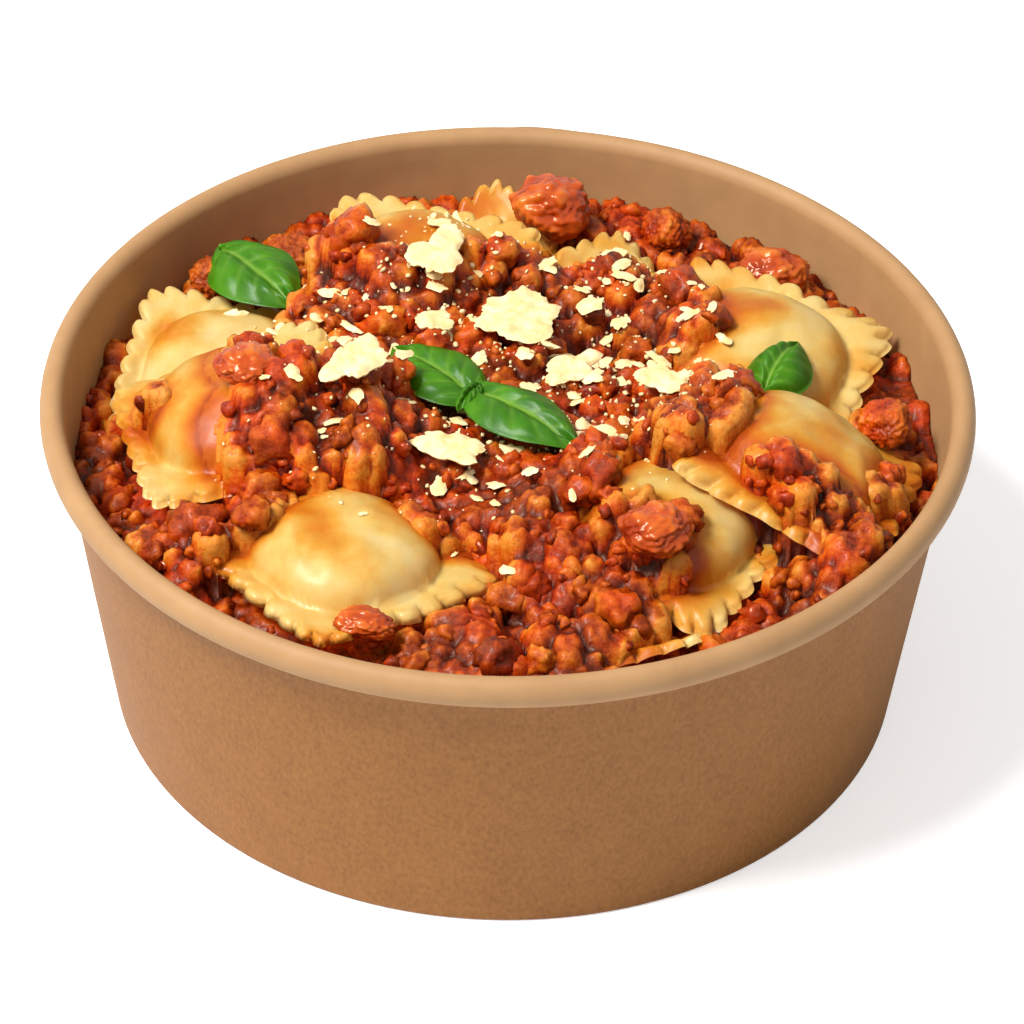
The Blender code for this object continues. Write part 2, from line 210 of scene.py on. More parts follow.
# The lap: past the seam line at the back, the board stands proud by about half its thickness and fades out.
# The bead isn't a perfect ring: it leans in and out by about two tenths of a millimetre.
pale_layer = bm.verts.layers.float.new("pale")
for point in bm.verts:
    x, y, z = point.co
    around = math.atan2(x, y) * FOOT_RADIUS
    radius = math.hypot(x, y)
    point[pale_layer] = z > SHOULDER - 1 * MM or radius < wall_radius(z) - BOARD / 2
    proud = 0
    if 0 <= around < LAP_WIDTH and radius > wall_radius(z) - BOARD / 2:
        proud = LAP_PROUD * (1 - around / LAP_WIDTH) ** 0.5
    sway = BEAD_SWAY * math.sin(3 * math.atan2(y, x) + 1) * max(0, z / BOWL_HEIGHT) ** 3
    scale = 1 + (proud + sway) / radius
    point.co.x *= scale
    point.co.y *= scale
finish_piece("bowl_side", bm, kraft, "kraft_board", "bowl_wall")


# ---- Bowl bottom -----------------------------------------------------------------------------------
# The bottom disc of the same board, with its edge turned down and held in the folded foot of the wall.
# A flat turned disc with a soft corner, seen only from below.
base_low, base_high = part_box("bowl_base")
disc_radius = base_high.x

# Film-coated kraft board: paler and smoother than the bare wall, with a soft sheen
lining, tree, shader = new_material("film_coated_kraft_board")
place = add_node(tree, "ShaderNodeTexCoord").outputs["Object"]
mottle = add_node(tree, "ShaderNodeTexNoise", {"Vector": place}, Scale=200, Detail=5)
lining_colour = add_node(
    tree, "ShaderNodeValToRGB", {"Fac": mottle.outputs["Fac"]},
    stops=((0.3, "AE7D48"), (0.7, "BB8B56")),
).outputs["Color"]
tree.links.new(lining_colour, shader.inputs["Base Color"])
shader.inputs["Roughness"].default_value = 0.5
bm = turned(
    [
        (0.5 * MM, base_high.z), (disc_radius - 1.2 * MM, base_high.z),
        (disc_radius - 0.4 * MM, base_high.z - 0.5 * MM), (disc_radius - 0.6 * MM, base_low.z),
        (disc_radius - 1.3 * MM, base_low.z), (disc_radius - 1.2 * MM, base_high.z - 1.4 * MM),
        (disc_radius - 2 * MM, base_high.z - BOARD), (0.5 * MM, base_high.z - BOARD),
    ],
    BOWL_SIDES,
)
bmesh.ops.holes_fill(bm, edges=[edge for edge in bm.edges if edge.is_boundary])
finish_piece("bowl_bottom", bm, lining, "coated_board", "bowl_base")


# ---- Ravioli ---------------------------------------------------------------------------------------
# Ten squares of filled egg pasta, cut with a fluted wheel: two sheets pressed together round a mound of
# filling, so a thick lobed rim runs round a dome. Cooked, moist, and stained orange where sauce ran.

# Each is a gridded slab whose two faces are drawn up over the filling and out into lobes.
# Half its side and its dome's height in mm, its middle in mm, its turn and two leans in degrees, and the
# patches where sauce lies on it: middle and half axes across its face, which runs from -1 to 1
RAVIOLI = {
    "raviolo_front_left": (
        18.5, 8.5, (-25, -36, 48.5), (39, -4, 3),
        [(-0.45, 1.0, 0.9, 0.55), (0.5, 1.05, 0.8, 0.35), (0.9, -0.15, 0.4, 0.38)],
    ),
    "raviolo_front_right": (
        17.5, 8.5, (25.5, -27.5, 48.5), (-30, 3, 8),
        [(-0.95, -0.15, 0.4, 0.8), (0.05, -0.65, 0.45, 0.45), (-0.5, -1.0, 0.7, 0.35)],
    ),
    "raviolo_right": (
        18.5, 8.5, (46.5, -15, 52), (-19, -2, 22),
        [
            (-0.9, -0.1, 0.38, 0.65), (0.2, -0.6, 0.6, 0.25), (0.75, -0.75, 0.35, 0.45),
            (0.72, 0, 0.16, 0.36),
        ],
    ),
    "raviolo_back_right": (
        19, 8.5, (40.5, 17, 48), (-23, 13, 1),
        [(-0.85, -0.05, 0.5, 0.55), (0, -1.0, 1.3, 0.5)],
    ),
    "raviolo_middle": (
        17.5, 6.5, (16, 30, 45), (38, 15, 9),
        [(-0.4, -0.35, 1.15, 1.0)],
    ),
    "raviolo_back_left": (
        18.5, 8.5, (-15.5, 31.5, 53.5), (-13, 7, 2),
        [(0.2, -0.85, 1.3, 0.72), (0.95, 0.1, 0.5, 0.5), (-0.62, -0.2, 0.28, 0.4)],
    ),
    "raviolo_back": (
        15.5, 5.5, (-4, 45.5, 42), (40, 34, 0),
        [(0, -0.9, 1.2, 0.9)],
    ),
    "raviolo_left": (
        18.5, 8.5, (-43, -6.5, 54), (16, 1, -13),
        [
            (0.45, -0.65, 0.85, 0.62), (0.95, -0.2, 0.4, 0.5), (0.15, 0.15, 0.28, 0.45),
            (-0.68, 0.3, 0.16, 0.3),
        ],
    ),
    "raviolo_left_under": (
        17.5, 6, (-46.5, 16, 44.5), (-9, 15, -1),
        [],
    ),
    "raviolo_front_under": (
        17, 5.5, (13, -44, 37), (6, -35, -8),
        [(0, 0.2, 1.2, 0.95), (-0.5, -0.6, 0.85, 0.6)],
    ),
}
LOBES = 8  # on each side of the square
LOBE_UNEVENNESS = 0.22
LOBE_DEPTH = 1.8 * MM
RIM_THICKNESS = 2.9 * MM
RIM_ROUNDING = 1.45 * MM
CRIMP = 0.77  # where the rim begins, as a share of half the side
DOME_SQUARENESS = 2.3
DOME_FLATNESS = 2.5
DOME_ROUNDING = 0.58
CREASE_AT = 1.04
CREASE_WIDTH = 0.09
PUCKERS = 19
RAVIOLO_CELLS = 80
NO_SAUCE = 99  # mm, further than any sauce patch


def smooth_step(low, high, value):
    t = min(1, max(0, (value - low) / (high - low)))
    return t * t * (3 - 2 * t)


def turn(angles):
    spin, lean_x, lean_y = (math.radians(a) for a in angles)
    return Euler((lean_x, lean_y, spin), "ZYX").to_matrix()


def cover_distance(u, v, half, covers):
    """Distance in mm across a raviolo's face to the nearest sauce patch, below 0 inside it."""
    nearest = NO_SAUCE
    for cu, cv, ru, rv in covers:
        reach = math.hypot((u - cu) / ru, (v - cv) / rv)
        nearest = min(nearest, (reach - 1) * half * min(ru, rv))
    return nearest


def lobe_wave(t, seed, side):
    """1 in the middle of a lobe and 0 in the notch between two, along one side of the square."""
    phase = (t + 1) / 2 * LOBES + LOBE_UNEVENNESS * noise.noise(Vector((t * 3, seed * 7.3, side * 5.1)))
    return abs(math.cos(math.pi * phase)) ** 0.5


# Fresh egg pasta, cooked: pale yellow and slightly translucent, with a moist, uneven soft gloss.
# The stain runs from clean dough over orange oil to thin sauce.
pasta, tree, shader = new_material("cooked_egg_pasta")
place = add_node(tree, "ShaderNodeTexCoord").outputs["Object"]
stain = add_node(tree, "ShaderNodeAttribute", attribute_name="stain").outputs["Fac"]
blotch = add_node(tree, "ShaderNodeTexNoise", {"Vector": place}, Scale=260, Detail=5, Roughness=0.6)
spread = add_node(tree, "ShaderNodeTexNoise", {"Vector": place}, Scale=110, Detail=4, Roughness=0.55)
uneven = add_node(
    tree, "ShaderNodeMath", {0: blotch.outputs["Fac"], 1: 0.3, 2: -0.15}, operation="MULTIPLY_ADD",
)
wide = add_node(
    tree, "ShaderNodeMath", {0: spread.outputs["Fac"], 1: 0.9, 2: -0.42}, operation="MULTIPLY_ADD",
)
both = add_node(tree, "ShaderNodeMath", {0: uneven.outputs[0], 1: wide.outputs[0]}, operation="ADD")
amount = add_node(tree, "ShaderNodeMath", {0: stain, 1: both.outputs[0]}, operation="ADD")
pasta_colour = add_node(
    tree, "ShaderNodeValToRGB", {"Fac": amount.outputs[0]},
    stops=(
        (0.0, "FDE59C"), (0.22, "F9D374"), (0.42, "F3B23C"),
        (0.62, "EA8E20"), (0.82, "DE6E12"), (1.0, "C4520C"),
    ),
).outputs["Color"]
tree.links.new(pasta_colour, shader.inputs["Base Color"])
gloss = add_node(tree, "ShaderNodeMapRange", {"Value": blotch.outputs["Fac"]}, To_Min=0.22, To_Max=0.5)
tree.links.new(gloss.outputs[0], shader.inputs["Roughness"])
shader.inputs["Subsurface Weight"].default_value = 0.15
shader.inputs["Subsurface Radius"].default_value = (1, 0.6, 0.3)
shader.inputs["Subsurface Scale"].default_value = 2 * MM
fine = add_node(tree, "ShaderNodeTexNoise", {"Vector": place}, Scale=900, Detail=3)
bump = add_node(tree, "ShaderNodeBump", {"Height": fine.outputs["Fac"]}, Strength=0.12, Distance=0.0002)
tree.links.new(bump.outputs[0], shader.inputs["Normal"])


def dome_reach(u, v):
    """How far out of the filled dome a place is: 0 in its middle and 1 at its foot."""
    return (abs(u) ** DOME_SQUARENESS + abs(v) ** DOME_SQUARENESS) ** (1 / DOME_SQUARENESS) / CRIMP


def dome_share(reach):
    """Height of the dome at a reach, as a share of its full height."""
    return (1 - reach ** DOME_FLATNESS) ** DOME_ROUNDING if reach < 1 else 0


def raviolo_faces(u, v, half, dome, seed):
    """Place of a point of the upper and the lower face of a raviolo, over its middle plane."""
    edge = max(abs(u), abs(v))
    side = (0 if u > 0 else 2) if abs(u) > abs(v) else (1 if v > 0 else 3)
    along = v if abs(u) > abs(v) else u
    wave = lobe_wave(along / max(edge, 1e-6), seed, side)
    rim = smooth_step(CRIMP, 1, edge)
    deep = 1 + 0.5 * noise.noise(Vector((along * 4, seed, side * 9)))
    corner = edge / (abs(u) ** 10 + abs(v) ** 10) ** 0.1 if edge > 0 else 1
    reach = (1 - LOBE_DEPTH * deep * (1 - wave) * rim / half) * (1 + (corner - 1) * rim)
    x, y = u * half * reach, v * half * reach
    angle = math.atan2(v, u)
    # The rim rises and falls, the more the nearer to its edge
    sway = 0.9 * MM * rim * math.sin(2 * angle + seed) + 0.5 * MM * rim * math.sin(5 * angle + 2 * seed)
    margin = min(1, (1 - edge) * half / RIM_ROUNDING)
    round_off = math.sqrt(max(0, 1 - (1 - margin) ** 2))
    press = 0.9 * MM * (1 - wave) * smooth_step(0.82, 0.97, edge)
    swell = dome_reach(u, v)
    lump = noise.noise(Vector((u * 2.1, v * 2.1, seed * 3.7)))
    small = noise.noise(Vector((u * 5.3, v * 5.3, seed * 1.9 + 40)))
    upper = RIM_THICKNESS / 2 * round_off - press
    lower = -RIM_THICKNESS / 2 * round_off
    if swell < 1:
        full = dome_share(swell)
        upper += (dome - RIM_THICKNESS / 2) * full
        upper += (0.9 * MM * lump + 0.35 * MM * small) * full ** 0.5
        lower -= 0.3 * dome * (1 - swell ** 2) ** 0.8
    # A shallow crease where the two sheets meet round the filling, with short puckers across it
    crease = math.exp(-((swell - CREASE_AT) / CREASE_WIDTH) ** 2)
    pucker = 0.5 + 0.5 * math.sin(angle * PUCKERS + 6 * lump + seed)
    upper -= crease * (0.25 + 0.3 * pucker) * MM
    upper += (0.25 * small + 0.2 * lump) * MM * rim
    return x, y, upper + sway, lower + sway


def build_raviolo(name, half, dome, middle, angles, covers, seed):
    bm = bmesh.new()
    bmesh.ops.create_grid(bm, x_segments=RAVIOLO_CELLS, y_segments=RAVIOLO_CELLS, size=1)
    bottom = set(bm.verts)
    bmesh.ops.extrude_face_region(bm, geom=list(bm.faces))
    stain_layer = bm.verts.layers.float.new("stain")
    for point in bm.verts:
        u, v = point.co.x, point.co.y
        x, y, upper, lower = raviolo_faces(u, v, half, dome, seed)
        point.co = (x, y, lower if point in bottom else upper)
        near = cover_distance(u, v, half / MM, covers)
        drip = noise.noise(Vector((u * 1.7, v * 1.7, seed * 2.3 + 9)))
        value = 0.1 + 0.75 * max(0, drip) + 0.6 * math.exp(-max(0, near) / 1.6)
        if covers and near > 0:
            value += 0.25 * math.exp(-near / 6)
        point[stain_layer] = value if point not in bottom else 0.4
    place = Matrix.Translation(Vector(middle) * MM) @ turn(angles).to_4x4()
    bmesh.ops.transform(bm, matrix=place, verts=bm.verts)
    return finish_piece(name + "_pasta", bm, pasta, "fresh_pasta", name)


ravioli_pieces = []
for seed, (name, (half, dome, middle, angles, covers)) in enumerate(RAVIOLI.items()):
    ravioli_pieces.append(build_raviolo(name, half * MM, dome * MM, middle, angles, covers, seed))


# ---- Meat sauce, the heap --------------------------------------------------------------------------
# Minced meat cooked down with tomato: a wet, lumpy mass that fills the bowl between the ravioli and lies
# over parts of them. The core is one dense sheet of nuggets, closed down to the bottom of the bowl.
CORE_STEP = 0.45 * MM
FREE_EDGE = 43 * MM
FREE_CROWN = 10 * MM
CROWN_RADIUS = 66 * MM
COVER = 1.4 * MM
UNDERCUT = 3 * MM
RIM_LAP = 0.9 * MM
LAP_REACH = 9 * MM
LAP_RISE = 0.7
PIT_DEPTH = 3 * MM
PATCH_SHRINK = -0.9  # mm: each patch ends this far inside its ellipse
SLUMP_SLOPE = 0.85
SLUMP_STEP = 2 * MM
SLUMP_ROUNDS = 32
SMOOTH_ROUNDS = 5
CLUSTERS = 1000
CLUSTER_SEED = 4
SOFT_ROUNDS = 16
PAINTED_SHADE_RANGE = 2.2 * MM
edge_radius = wall_radius(FREE_EDGE) - BOARD - 0.1 * MM
food_floor = base_high.z + 0.3 * MM
cells = int(2 * edge_radius / CORE_STEP) + 3
axis_values = (np.arange(cells + 1) - cells / 2) * CORE_STEP
grid_x, grid_y = np.meshgrid(axis_values, axis_values)


def noise_over_grid(size, offset):
    """Smooth noise over the sauce's grid, with lumps of about one size."""
    values = [
        noise.noise(Vector((x, y, offset * size)) / size)
        for x, y in zip(grid_x.ravel().tolist(), grid_y.ravel().tolist())
    ]
    return np.array(values).reshape(grid_x.shape)


# Height of the ground under the nuggets: a low crown, over the covered ravioli and under the bare ones,
# where the raviolo on top at each place decides
free_level = FREE_EDGE + FREE_CROWN * np.maximum(0, 1 - (grid_x ** 2 + grid_y ** 2) / CROWN_RADIUS ** 2)
free_level += 1.1 * MM * noise_over_grid(7 * MM, 0)
ragged_u = 0.1 * noise_over_grid(3.2 * MM, 5)
ragged_v = 0.1 * noise_over_grid(3.2 * MM, 9)
ground = free_level.copy()
topmost = np.full(grid_x.shape, -1.0)
bare = np.zeros(grid_x.shape, bool)
covered = np.zeros(grid_x.shape, bool)
lap_limit = np.full(grid_x.shape, 1.0)
crown = np.full(grid_x.shape, -1.0)
for half, dome, middle, angles, covers in RAVIOLI.values():
    basis = turn(angles)
    normal = basis.col[2]
    half, dome, middle = half * MM, dome * MM, Vector(middle) * MM
    plane = middle.z - (normal.x * (grid_x - middle.x) + normal.y * (grid_y - middle.y)) / normal.z
    offset = np.stack([grid_x - middle.x, grid_y - middle.y, plane - middle.z], -1)
    u, v = offset @ np.array(basis.col[0]) / half, offset @ np.array(basis.col[1]) / half
    inside = (np.maximum(abs(u), abs(v)) < 1.04) & (plane > topmost)
    near = np.full(grid_x.shape, float(NO_SAUCE))
    rim_near = near.copy()
    rim_u, rim_v = np.clip(u, -1, 1), np.clip(v, -1, 1)
    for cu, cv, ru, rv in covers:
        scale = half / MM * min(ru, rv)
        ragged_reach = np.hypot((u + ragged_u - cu) / ru, (v + ragged_v - cv) / rv)
        near = np.minimum(near, (ragged_reach - 1) * scale)
        rim_near = np.minimum(rim_near, (np.hypot((rim_u - cu) / ru, (rim_v - cv) / rv) - 1) * scale)
    reach = np.clip(dome_reach(u, v), 0, 1)
    top = RIM_THICKNESS / 2 + (dome - RIM_THICKNESS / 2) * (1 - reach ** DOME_FLATNESS) ** DOME_ROUNDING
    thick = COVER * np.clip((0.5 - near) / 4, 0.1, 1)
    over = inside & (near < PATCH_SHRINK)
    under = inside & (near >= PATCH_SHRINK)
    ground = np.where(over, plane + top + thick, ground)
    ground = np.where(under, np.minimum(free_level, plane - RIM_THICKNESS / 2 - UNDERCUT), ground)
    topmost = np.where(inside, plane, topmost)
    crown = np.where(inside, plane + top, crown)
    covered = np.where(inside, over, covered)
    bare = np.where(inside, under, bare)
    # Beside a bare rim the sauce only laps at it
    away = np.hypot(u - rim_u, v - rim_v) * half
    rim_level = plane + RIM_THICKNESS / 2 - RIM_LAP + LAP_RISE * away
    beside = (away > 0) & (away < LAP_REACH) & (rim_near > 0.5)
    lap_limit = np.where(beside, np.minimum(lap_limit, rim_level), lap_limit)

# The sauce slumps: its steps settle into slopes, which run out over a bare raviolo only from a high step
ground = np.where(bare | covered, ground, np.minimum(ground, np.maximum(lap_limit, free_level - PIT_DEPTH)))
for _ in range(SLUMP_ROUNDS):
    for axis in (0, 1):
        for shift in (1, -1):
            lying = np.where(bare, 0, ground)
            slope = np.roll(lying, shift, axis) - SLUMP_SLOPE * CORE_STEP
            spilled = bare & (slope > crown + SLUMP_STEP)
            ground = np.where(~bare | spilled, np.maximum(ground, slope), ground)
            bare &= ~spilled
for _ in range(SMOOTH_ROUNDS):
    smooth = sum(np.roll(ground, shift, axis) for shift in (1, -1) for axis in (0, 1)) / 4
    ground = np.where(bare | covered, ground, smooth)


# Sauce: simmered mince in tomato and oil. Browned meat in some places and red-orange sauce in others, with
# painted shade darkening the hollows and painted light on the crests, and wet with a soft and uneven gloss.
ragu, tree, shader = new_material("simmered_meat_sauce")
place = add_node(tree, "ShaderNodeTexCoord").outputs["Object"]
# This attribute is painted shade and light: darker in hollows and low sides, lighter on crests and tops
shade_and_light_value = add_node(tree, "ShaderNodeAttribute", attribute_name="tone_and_painted_shade").outputs["Fac"]
patch = add_node(tree, "ShaderNodeTexNoise", {"Vector": place}, Scale=170, Detail=4, Roughness=0.6)
grit = add_node(tree, "ShaderNodeTexNoise", {"Vector": place}, Scale=900, Detail=5, Roughness=0.7)
patch_part = add_node(
    tree, "ShaderNodeMath", {0: patch.outputs["Fac"], 1: 0.5, 2: -0.25}, operation="MULTIPLY_ADD",
)
grit_part = add_node(
    tree, "ShaderNodeMath", {0: grit.outputs["Fac"], 1: 0.9, 2: -0.45}, operation="MULTIPLY_ADD",
)
both = add_node(tree, "ShaderNodeMath", {0: patch_part.outputs[0], 1: grit_part.outputs[0]}, operation="ADD")
tone = add_node(tree, "ShaderNodeMath", {0: shade_and_light_value, 1: both.outputs[0]}, operation="ADD")
browned = add_node(
    tree, "ShaderNodeValToRGB", {"Fac": tone.outputs[0]},
    stops=(
        (0.0, "330A02"), (0.25, "541604"), (0.5, "862E04"),
        (0.72, "AC4E0C"), (0.9, "C06A1C"), (1.0, "CC8432"),
    ),
).outputs["Color"]
saucy = add_node(
    tree, "ShaderNodeValToRGB", {"Fac": tone.outputs[0]},
    stops=(
        (0.0, "420A02"), (0.25, "6E1604"), (0.5, "9E2A02"),
        (0.72, "BC4406"), (0.9, "CA5E0E"), (1.0, "D2761C"),
    ),
).outputs["Color"]
region = add_node(tree, "ShaderNodeTexNoise", {"Vector": place}, Scale=95, Detail=3)
sauce_share = add_node(
    tree, "ShaderNodeMapRange", {"Value": region.outputs["Fac"]}, From_Min=0.42, From_Max=0.6,
)
sauce_colour = add_node(
    tree, "ShaderNodeMix", {0: sauce_share.outputs[0], 6: browned, 7: saucy}, data_type="RGBA",
)
tree.links.new(sauce_colour.outputs[2], shader.inputs["Base Color"])
gloss = add_node(
    tree, "ShaderNodeMapRange", {"Value": grit.outputs["Fac"]},
    From_Min=0.35, From_Max=0.65, To_Min=0.14, To_Max=0.5,
)
tree.links.new(gloss.outputs[0], shader.inputs["Roughness"])
shader.inputs["Specular Tint"].default_value = (1, 0.62, 0.42, 1)
shader.inputs["Coat Weight"].default_value = 0.08
shader.inputs["Coat Roughness"].default_value = 0.14
shader.inputs["Specular IOR Level"].default_value = 0.3
shader.inputs["Subsurface Weight"].default_value = 0.05
shader.inputs["Subsurface Radius"].default_value = (1, 0.3, 0.1)
shader.inputs["Subsurface Scale"].default_value = 1.5 * MM
bump = add_node(tree, "ShaderNodeBump", {"Height": grit.outputs["Fac"]}, Strength=0.6, Distance=0.0005)
tree.links.new(bump.outputs[0], shader.inputs["Normal"])

# Nuggets in clusters are pressed up through the ground, and a finer torn grain lies over them all
heights = ground + 0.6 * MM * noise_over_grid(2.4 * MM, 3)
rng = random.Random(CLUSTER_SEED)
for _ in range(CLUSTERS):
    spot = edge_radius * math.sqrt(rng.random())
    angle = 2 * math.pi * rng.random()
    cluster = rng.uniform(1.7, 3.6) * MM
    lift = rng.uniform(-0.6, 0.5)
    for _ in range(rng.randint(2, 5)):
        x = spot * math.cos(angle) + rng.gauss(0, 0.6) * cluster
        y = spot * math.sin(angle) + rng.gauss(0, 0.6) * cluster
        column, row = round(x / CORE_STEP + cells / 2), round(y / CORE_STEP + cells / 2)
        if not (0 <= row <= cells and 0 <= column <= cells) or bare[row, column]:
            continue
        radius = cluster * rng.uniform(0.5, 0.95)
        middle = ground[row, column] + radius * lift
        reach = int(radius / CORE_STEP) + 1
        rows = slice(max(0, row - reach), row + reach + 1)
        columns = slice(max(0, column - reach), column + reach + 1)
        away = (grid_x[rows, columns] - x) ** 2 + (grid_y[rows, columns] - y) ** 2
        ball = np.where(away < radius ** 2, middle + np.sqrt(np.maximum(radius ** 2 - away, 0)), -1)
        heights[rows, columns] = np.maximum(heights[rows, columns], ball)
grain = 0.55 * MM * noise_over_grid(1.5 * MM, 7) + 0.35 * MM * noise_over_grid(0.95 * MM, 11)
heights += grain
soft = heights.copy()
for _ in range(SOFT_ROUNDS):
    soft[1:-1, 1:-1] = (
        soft[1:-1, 1:-1] + soft[:-2, 1:-1] + soft[2:, 1:-1] + soft[1:-1, :-2] + soft[1:-1, 2:]
    ) / 5
# Painted shade and painted light: the sauce is darker where it lies below its smoothed height, lighter above
# it
tone_and_painted_shade = np.clip(0.4 + (heights - soft) / PAINTED_SHADE_RANGE, 0, 1)

bm = bmesh.new()
bmesh.ops.create_grid(bm, x_segments=cells, y_segments=cells, size=cells * CORE_STEP / 2)
painted_shade_layer = bm.verts.layers.float.new("tone_and_painted_shade")
for point in bm.verts:
    column = round(point.co.x / CORE_STEP + cells / 2)
    row = round(point.co.y / CORE_STEP + cells / 2)
    point.co.z = heights[row, column]
    point[painted_shade_layer] = tone_and_painted_shade[row, column]
outside = [p for p in bm.verts if math.hypot(p.co.x, p.co.y) > edge_radius + 0.8 * CORE_STEP]
bmesh.ops.delete(bm, geom=outside, context="VERTS")
for point in bm.verts:
    limit = wall_radius(point.co.z) - BOARD - 0.05 * MM
    radius = math.hypot(point.co.x, point.co.y)
    if point.is_boundary or radius > limit:
        point.co.x *= limit / radius
        point.co.y *= limit / radius
rim_edges = [edge for edge in bm.edges if edge.is_boundary]
skirt = bmesh.ops.extrude_edge_only(bm, edges=rim_edges)["geom"]
skirt_points = [item for item in skirt if isinstance(item, bmesh.types.BMVert)]
foot_radius = wall_radius(food_floor) - BOARD - 0.3 * MM
for point in skirt_points:
    shrink = foot_radius / math.hypot(point.co.x, point.co.y)
    point.co = (point.co.x * shrink, point.co.y * shrink, food_floor)
bmesh.ops.holes_fill(bm, edges=[edge for edge in bm.edges if edge.is_boundary])
sauce_core = finish_piece("meat_sauce_heap", bm, ragu, "meat_sauce", "meat_sauce")


# ---- Mince crumbs ----------------------------------------------------------------------------------
# The loose nuggets of browned mince that stand out of the sauce, each a torn, rounded crumb 2 to 8 mm
# across. Twenty-eight knobbly balls are repeated, turned and stretched, and sunk by up to half a radius.

# Layers of bumps on a ball: how close together they are, and their share of its roughness
BUMPS = ((1.3, 1), (2.9, 0.65), (5.5, 0.4), (11, 0.25))
ABOVE = 90 * MM
LOWEST_CRUMB = 34 * MM
WALL_MARGIN = 1.5 * MM
AIR_GAP = 0.6  # mm, how far off the sauce the air is felt for
WALL_ROOM = 1.7  # of its radius, how far a crumb stays from the wall


def knobbly_ball(seed, level, rough):
    """Points, triangles and how far each point stands out, for one crumb of radius 1."""
    ball = bmesh.new()
    bmesh.ops.create_icosphere(ball, subdivisions=level, radius=1)
    points = []
    proud = []
    for point in ball.verts:
        way = point.co.normalized()
        swell = 0
        for size, share in BUMPS:
            swell += share * rough * noise.noise(way * size + Vector((seed * 3.1, seed * 5.7, size)))
        points.append(way * (1 + swell))
        proud.append(swell / rough)
    triangles = [[point.index for point in face.verts] for face in ball.faces]
    ball.free()
    return np.array(points), np.array(triangles), np.array(proud)


def scatter(name, material, placed):
    """Joins many placed copies: each is a shape, a 3 by 3 frame, a middle, and how light it is."""
    points = []
    triangles = []
    tones = []
    start = 0
    for (shape, faces, proud), basis, middle, light in placed:
        turned_shape = shape @ np.array(basis).T
        points.append(turned_shape + np.array(middle))
        triangles.append(faces + start)
        # Painted light on each copy's knobs and upper side and painted shade on its lower side, added to its
        # own random tone
        height = turned_shape[:, 2] / max(1e-9, np.abs(turned_shape[:, 2]).max())
        tones.append(np.clip(light + 0.28 * proud + 0.12 * height, 0, 1))
        start += len(shape)
    mesh = bpy.data.meshes.new(name)
    mesh.from_pydata(np.concatenate(points).tolist(), [], np.concatenate(triangles).tolist())
    layer = mesh.attributes.new("tone_and_painted_shade", "FLOAT", "POINT")
    layer.data.foreach_set("value", np.concatenate(tones).astype(np.float32))
    mesh.shade_smooth()
    mesh.materials.append(material)
    piece = bpy.data.objects.new(name, mesh)
    bpy.context.scene.collection.objects.link(piece)
    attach(piece, "root")
    return piece


def search_tree(pieces):
    """A search tree over some pieces' surfaces."""
    points = []
    faces = []
    for piece in pieces:
        start = len(points)
        points += [vertex.co.copy() for vertex in piece.data.vertices]
        faces += [[start + i for i in polygon.vertices] for polygon in piece.data.polygons]
    return BVHTree.FromPolygons(points, faces)


sauce_bed = search_tree([sauce_core] + ravioli_pieces)
OPEN_WAYS = [Vector(way).normalized() for way in ((0, 0, 1), (0, -1, 1), (0, 1, 1), (1, 0, 1), (-1, 0, 1))]


def face_sampler(piece):
    """Draws random places on a piece's upper surface, steep sides too: a point and its normal."""
    mesh = piece.data
    count = len(mesh.polygons)
    areas = np.empty(count)
    mesh.polygons.foreach_get("area", areas)
    middles = np.empty(count * 3)
    mesh.polygons.foreach_get("center", middles)
    normals = np.empty(count * 3)
    mesh.polygons.foreach_get("normal", normals)
    middles, normals = middles.reshape(-1, 3), normals.reshape(-1, 3)
    from_axis = np.hypot(middles[:, 0], middles[:, 1])
    wanted = (middles[:, 2] > LOWEST_CRUMB) & (from_axis < edge_radius - WALL_MARGIN)
    totals = np.cumsum(np.where(wanted, areas, 0))

    def draw(rng):
        index = int(np.searchsorted(totals, rng.random() * totals[-1]))
        return Vector(middles[index]), Vector(normals[index])

    return draw


def random_frame(rng, sizes):
    spin = Euler([rng.uniform(0, 2 * math.pi) for _ in range(3)]).to_matrix()
    return spin @ Matrix.Diagonal(Vector(sizes))


draw_place = face_sampler(sauce_core)


def drop_crumbs(count, shapes, smallest, largest, seed, sink, light):
    """Crumbs set on the sauce wherever it is open to the air, sunk into it by a share of their radius."""
    rng = random.Random(seed)
    placed = []
    while len(placed) < count:
        point, normal = draw_place(rng)
        size = (smallest + (largest - smallest) * rng.random() ** 2) * MM
        start = point + normal * AIR_GAP * MM
        if all(sauce_bed.ray_cast(start, way)[0] is not None for way in OPEN_WAYS):
            continue
        sizes = [size * rng.uniform(0.75, 1.25) for _ in range(3)]
        middle = point + normal * size * rng.uniform(-sink, 0.15)
        room = wall_radius(middle.z - 2 * size) - BOARD - math.hypot(middle.x, middle.y)
        if room < WALL_ROOM * size:
            continue
        shape = rng.choice(shapes)
        basis = random_frame(rng, sizes)
        placed.append((shape, basis, middle, light + rng.uniform(-0.2, 0.15)))
    return placed


fine_shapes = [knobbly_ball(seed, 2, 0.4) for seed in range(14)]
coarse_shapes = [knobbly_ball(seed + 30, 3, 0.42) for seed in range(14)]
fine_crumbs = drop_crumbs(480, fine_shapes, 0.8, 1.6, 11, 0.5, 0.5)
coarse_crumbs = drop_crumbs(150, coarse_shapes, 2.0, 3.9, 12, 0.55, 0.5)
crumb_pieces = [
    scatter("mince_crumbs_fine", ragu, fine_crumbs),
    scatter("mince_crumbs_coarse", ragu, coarse_crumbs),
]


